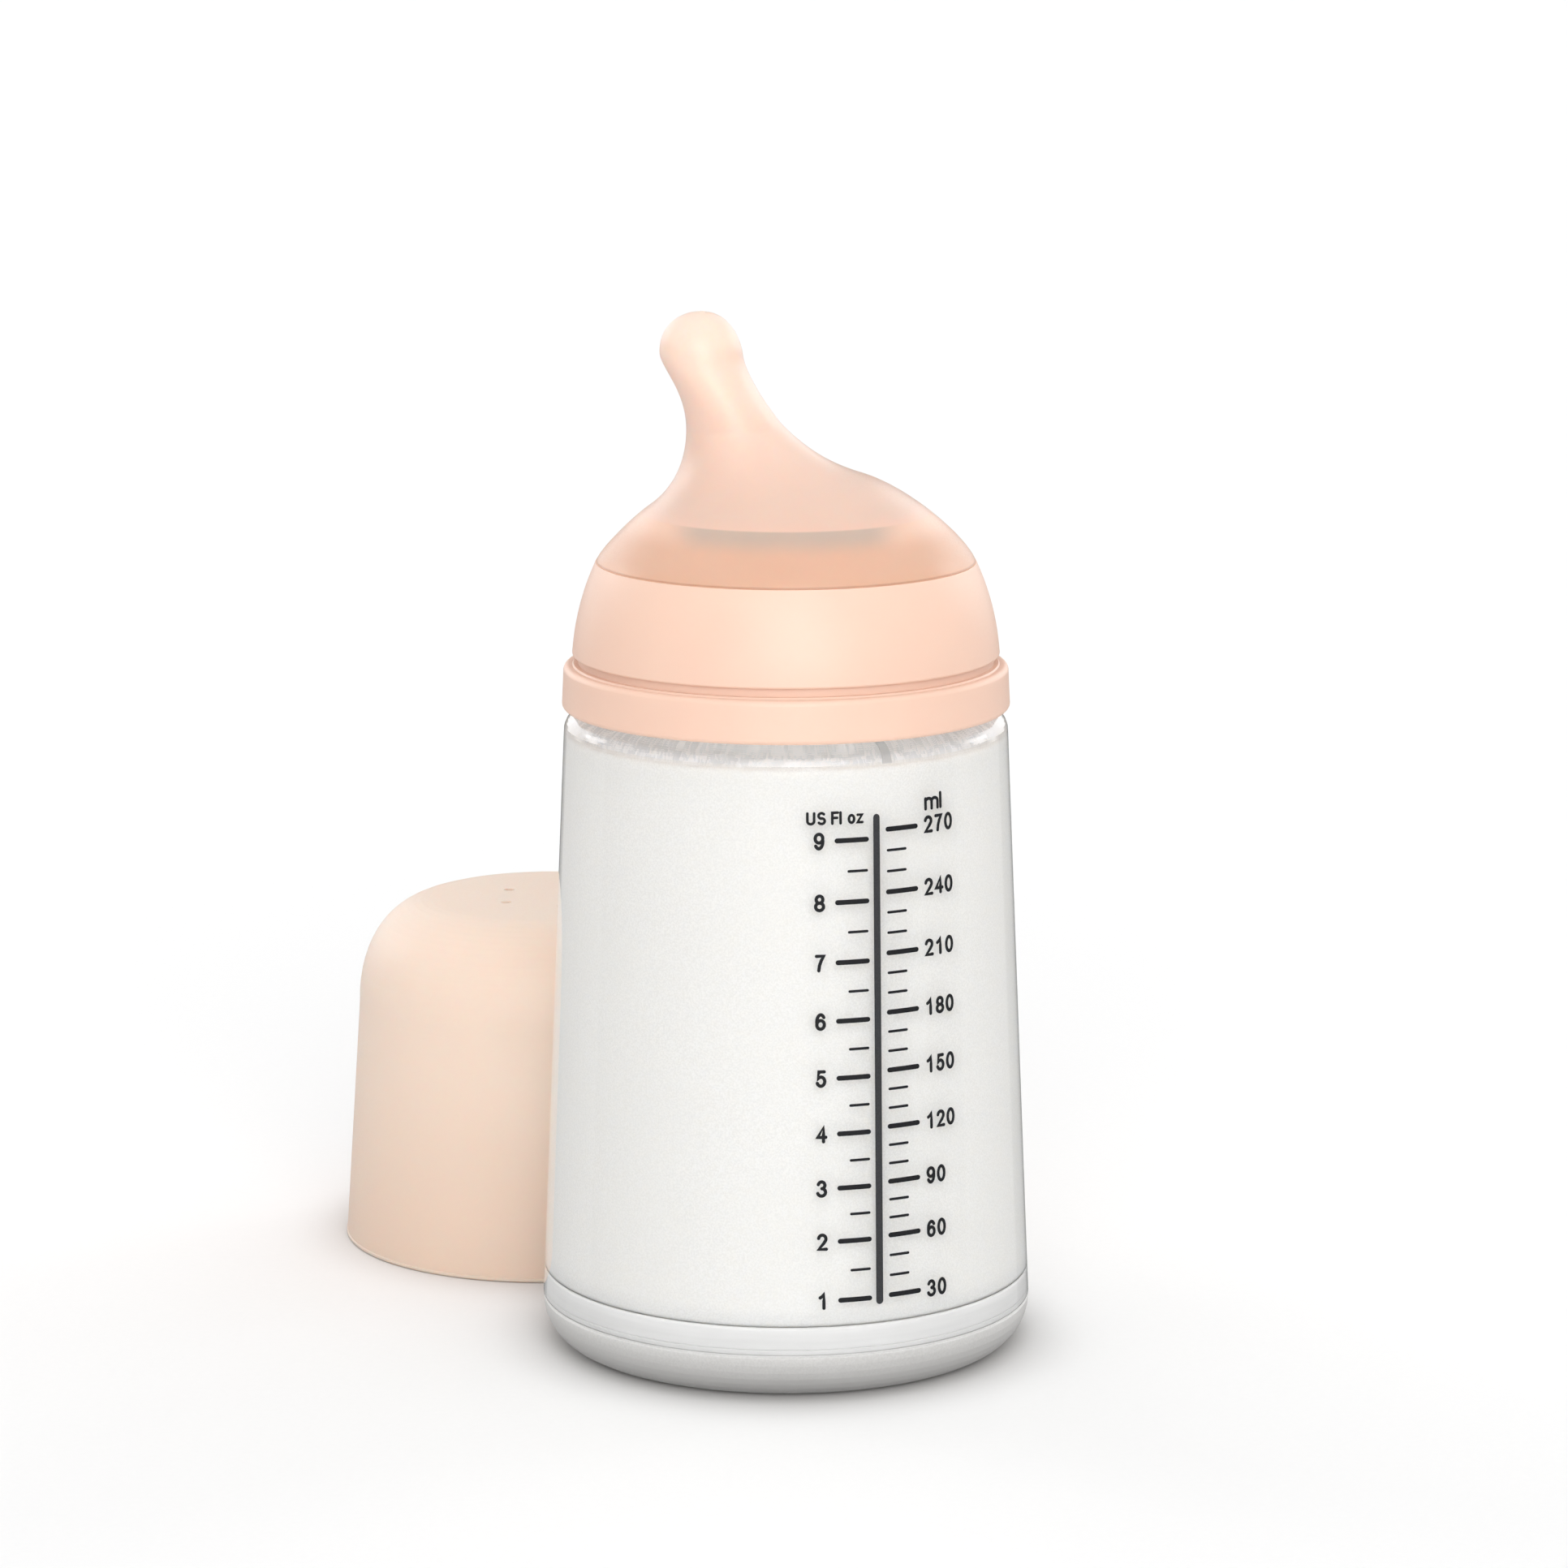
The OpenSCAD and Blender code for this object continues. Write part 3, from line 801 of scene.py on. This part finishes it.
def rounded_ends(flat, half):
    """Adds the points along which the ends of a stroke narrow to a half circle."""
    first = (flat[0] - flat[1]).normalized()
    last = (flat[-1] - flat[-2]).normalized()
    turns = [math.radians(END_SWEEP * k / END_STEPS) for k in range(1, END_STEPS + 1)]
    reach = [half * math.sin(turn) for turn in turns]
    head = [flat[0] + first * r for r in reversed(reach)]
    tail = [flat[-1] + last * r for r in reach]
    return head + flat + tail


def end_share(i, n, closed):
    """Share of the full width at point i of n: 1 along the stroke, less round its ends."""
    from_end = min(i, n - 1 - i)
    if closed or from_end >= END_STEPS:
        return 1.0
    return math.cos(math.radians(END_SWEEP * (END_STEPS - from_end) / END_STEPS))


def level_line(start, end, z, count=8):
    """A level line between two distances from the bar."""
    return [(from_bar(mm, z), z) for mm in steps(start, end, count)]


# Strokes of each sign, in a box 1 high: (points, closed)
GLYPHS = {
    "0": [(oval(0.22, 0.5, 0.22, 0.5, 0, 345, 23), True)],
    "1": [([(0.07, 0.74), (0.2, 0.84), (0.28, 1.0), (0.28, 0.5), (0.28, 0)], False)],
    "2": [(oval(0.215, 0.73, 0.205, 0.27, 170, -25, 12) + [(0.3, 0.42), (0.02, 0), (0.44, 0)], False)],
    "3": [
        (oval(0.2, 0.755, 0.185, 0.245, 165, -80, 12), False),
        (oval(0.2, 0.265, 0.22, 0.265, 85, -165, 14), False),
    ],
    "4": [([(0.33, 0), (0.33, 0.5), (0.33, 1), (0.0, 0.31), (0.22, 0.31), (0.46, 0.31)], False)],
    "5": [([(0.40, 1), (0.1, 1), (0.04, 0.5)] + oval(0.21, 0.32, 0.215, 0.32, 128, -160, 14), False)],
    "6": [
        (oval(0.22, 0.3, 0.21, 0.3, 0, 340, 17), True),
        (oval(0.23, 0.5, 0.22, 0.5, 38, 190, 12), False),
    ],
    "7": [([(0.02, 1), (0.42, 1), (0.29, 0.7), (0.19, 0.36), (0.15, 0)], False)],
    "8": [
        (oval(0.22, 0.755, 0.185, 0.245, 0, 340, 17), True),
        (oval(0.22, 0.26, 0.22, 0.26, 0, 340, 17), True),
    ],
    "9": [
        (oval(0.22, 0.7, 0.21, 0.3, 0, 340, 17), True),
        (oval(0.21, 0.5, 0.22, 0.5, 218, 370, 12), False),
    ],
    "m": [
        ([(0, 0), (0, 0.72)], False),
        (oval(0.22, 0.5, 0.22, 0.22, 180, 0, 8) + [(0.44, 0)], False),
        (oval(0.66, 0.5, 0.22, 0.22, 180, 0, 8) + [(0.88, 0)], False),
    ],
    "l": [([(0, 0), (0, 1)], False)],
    "U": [([(0, 1), (0, 0.32)] + oval(0.25, 0.28, 0.25, 0.28, 180, 360, 12) + [(0.5, 1)], False)],
    "S": [
        (oval(0.25, 0.75, 0.22, 0.25, 35, 265, 14), False),
        (oval(0.25, 0.26, 0.24, 0.26, 85, -145, 14), False),
    ],
    "F": [([(0.42, 1), (0, 1), (0, 0.5), (0, 0)], False), ([(0, 0.52), (0.36, 0.52)], False)],
    "o": [(oval(0.2, 0.35, 0.2, 0.35, 0, 340, 17), True)],
    "z": [([(0.02, 0.7), (0.36, 0.7), (0.0, 0), (0.38, 0)], False)],
}
ADVANCE = {"m": 1.1, "l": 0.3, "U": 0.8, "S": 0.72, "F": 0.62, "o": 0.66, "z": 0.6, " ": 0.34}
DIGIT_ADVANCE = 0.74
WIDEN = 1.25


def write(ink, text, start, z, height, thickness):
    """Writes a line of signs that starts some millimetres from the bar and whose feet stand at z."""
    size = height - thickness
    start += thickness / 2
    cursor = 0.0
    for sign in text:
        for line, closed in GLYPHS.get(sign, []):
            placed = [
                (from_bar(start + (cursor + x) * size * WIDEN, z), z + thickness / 2 + y * size)
                for x, y in line
            ]
            ink.stroke(placed, thickness, closed)
        cursor += ADVANCE.get(sign, DIGIT_ADVANCE)


def make_ticks(material):
    """Marks for every 10 ml and every half ounce, long ones where a number stands."""
    ml_ticks, ounce_ticks = Ink(), Ink()
    for ml in range(30, 271, 10):
        major = ml % 30 == 0
        line = level_line(ML_TICK_FROM, ML_LONG_TO if major else ML_SHORT_TO, fill_height(ml))
        ml_ticks.stroke(line, LONG_TICK if major else SHORT_TICK)
    for half in range(2, 19):
        major = half % 2 == 0
        start = OUNCE_LONG_FROM if major else OUNCE_SHORT_FROM
        line = level_line(start, OUNCE_TICK_TO, fill_height(half / 2 * ML_IN_OUNCE))
        ounce_ticks.stroke(line, LONG_TICK if major else SHORT_TICK)
    ml_ticks.piece("millilitre_marks", material)
    ounce_ticks.piece("ounce_marks", material)


def make_numbers(material):
    """Numbers beside the long marks, and the two units over their columns."""
    ml_numbers, ounce_numbers, units = Ink(), Ink(), Ink()
    for ml in range(30, 271, 30):
        z = fill_height(ml) - NUMBER_HEIGHT / 2
        write(ml_numbers, str(ml), ML_NUMBERS_FROM, z, NUMBER_HEIGHT, NUMBER_STROKE)
    for ounce in range(1, 10):
        z = fill_height(ounce * ML_IN_OUNCE) - NUMBER_HEIGHT / 2
        write(ounce_numbers, str(ounce), OUNCE_NUMBERS_FROM, z, NUMBER_HEIGHT, NUMBER_STROKE)
    write(units, *ML_SIGN)
    write(units, *OUNCE_SIGN)
    ml_numbers.piece("millilitre_numbers", material)
    ounce_numbers.piece("ounce_numbers", material)
    units.piece("unit_signs", material)


def make_bar(material):
    """The upright bar between the two columns of marks."""
    bar = Ink()
    bar.stroke([(from_bar(0, z), z) for z in steps(SCALE_LOW_Z, SCALE_TOP_Z, 24)], BAR_WIDTH)
    bar.piece("scale_bar", material)


# ---- Studio ----


def make_camera():
    """The photo's camera: a long lens in front of the bottle, looking slightly down."""
    data = bpy.data.cameras.new("camera")
    data.sensor_width = 36
    data.lens = 126.7
    data.clip_start = 0.01
    data.clip_end = 100
    camera = bpy.data.objects.new("camera", data)
    aside, distance, height = -0.0003, 0.830, 0.24815
    pitch_down = 10.98
    camera.location = (aside, -distance, height)
    camera.rotation_euler = (math.radians(90 - pitch_down), 0, 0)
    bpy.context.scene.collection.objects.link(camera)
    bpy.context.scene.camera = camera


def make_floor():
    """A wide white table under the bottle, which reflections and clear plastic don't see."""
    half = 14.0
    mesh = bpy.data.meshes.new("table")
    corners = [(-half, -half, 0), (half, -half, 0), (half, half, 0), (-half, half, 0)]
    mesh.from_pydata(corners, [], [(0, 1, 2, 3)])
    table = bpy.data.objects.new("table", mesh)
    table.location.z = -0.05 * MM
    table.data.materials.append(studio_floor())
    table.visible_glossy = False
    table.visible_transmission = False
    bpy.context.scene.collection.objects.link(table)


class Sky(Nodes):
    """The light of the surroundings under construction, by the direction that it comes from."""

    def __init__(self):
        world = bpy.data.worlds.new("studio")
        bpy.context.scene.world = world
        super().__init__(world)
        self.way = self.nodes.new("ShaderNodeTexCoord").outputs["Generated"]
        x, y, self.up = self.split(self.way)
        self.round = self.bearing(x, y)

    def sum(self, lights):
        """All of some lights together."""
        total = lights[0]
        for light in lights[1:]:
            total = self.maths("ADD", total, light)
        return total

    def glow(self, strength, bearing, height, edge, core):
        """A round soft light at a bearing from the front towards +X and a height, in degrees."""
        turn, tilt = math.radians(bearing), math.radians(height)
        towards = self.nodes.new("ShaderNodeVectorMath")
        towards.operation = "DOT_PRODUCT"
        towards.inputs[1].default_value = (
            math.sin(turn) * math.cos(tilt), -math.cos(turn) * math.cos(tilt), math.sin(tilt)
        )
        self.link(self.way, towards.inputs[0])
        outside, inside = math.cos(math.radians(edge)), math.cos(math.radians(core))
        return self.spread(towards.outputs["Value"], outside, inside, 0, strength)

    def light_box(self, strength, start, end):
        """A tall light box between two bearings, in degrees, with soft upright edges."""
        start, end, soft = math.radians(start), math.radians(end), math.radians(1.5)
        rise = self.spread(self.round, start - soft, start + soft, 0, strength)
        return self.maths("MULTIPLY", rise, self.spread(self.round, end - soft, end + soft, 1, 0))

    def shine(self, light):
        """Makes a light the sky's, behind a backdrop that the camera itself sees as white."""
        sky = self.nodes["Background"]
        sky.inputs["Color"].default_value = (1, 1, 1, 1)
        self.link(light, sky.inputs["Strength"])
        backdrop = self.nodes.new("ShaderNodeBackground")
        backdrop.inputs["Color"].default_value = (1, 1, 1, 1)
        path = self.nodes.new("ShaderNodeLightPath")
        mix = self.nodes.new("ShaderNodeMixShader")
        self.link(path.outputs["Is Camera Ray"], mix.inputs["Fac"])
        self.link(sky.outputs[0], mix.inputs[1])
        self.link(backdrop.outputs[0], mix.inputs[2])
        self.link(mix.outputs[0], self.nodes["World Output"].inputs["Surface"])


def studio_sky():
    """Light of a white studio: brightest overhead, a soft window in front, lamps behind at both sides.

    The table hides the lower half from everything but reflections and clear plastic, which see a pale
    ground, darker at the back and brighter where a light box stands on it at each side.
    """
    sky = Sky()
    level, overhead, under = 0.14, 1.26, 0.42
    # Strength, bearing, height, edge and core of each glow; strength, start and end of each light box
    window = (4.15, 5, 18, 32, 10)
    back_glows = ((1.6, -148, 10, 24, 15), (1.6, 148, 10, 24, 15))
    side_lamps = ((3.6, -124, 19, 11, 7), (3.6, 124, 19, 11, 7))
    low_shade = (-0.25, 180, -9, 22, 8)
    boxes = ((0.2, -158, -106), (0.2, 96, 143))
    dome = sky.spread(sky.up, 0, 1, level, overhead, "LINEAR")
    above = sky.sum([dome] + [sky.glow(*each) for each in (window, *back_glows, *side_lamps)])
    dark = sky.maths("ADD", sky.glow(*low_shade), under)
    below = sky.sum([dark] + [sky.light_box(*each) for each in boxes])
    haze = -0.04
    above = sky.maths("MULTIPLY", above, sky.spread(sky.up, haze, 0, 0, 1))
    below = sky.maths("MULTIPLY", below, sky.spread(sky.up, haze, 0, 1, 0))
    sky.shine(sky.maths("ADD", above, below))


def paint(node, material):
    """Gives a CAD node a better material."""
    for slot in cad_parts[node].material_slots:
        slot.material = material


# ---- The scene ----

make_camera()
make_floor()
studio_sky()
bpy.context.scene.view_settings.view_transform = "Standard"

paint("base_cup", frosted_foot())
paint("housing", clear_plastic())
paint("collar", peach_plastic())
paint("cap", peach_cap())
make_bag(frosted_silicone())
make_teat(peach_silicone())

ink = printed_ink("printed_ink", 5200, (0.0075, 0.0075, 0.009), (0.014, 0.014, 0.016))
bar_ink = printed_ink("printed_bar_ink", 4200, (0.030, 0.030, 0.033), (0.040, 0.040, 0.043))
make_bar(bar_ink)
make_ticks(ink)
make_numbers(ink)
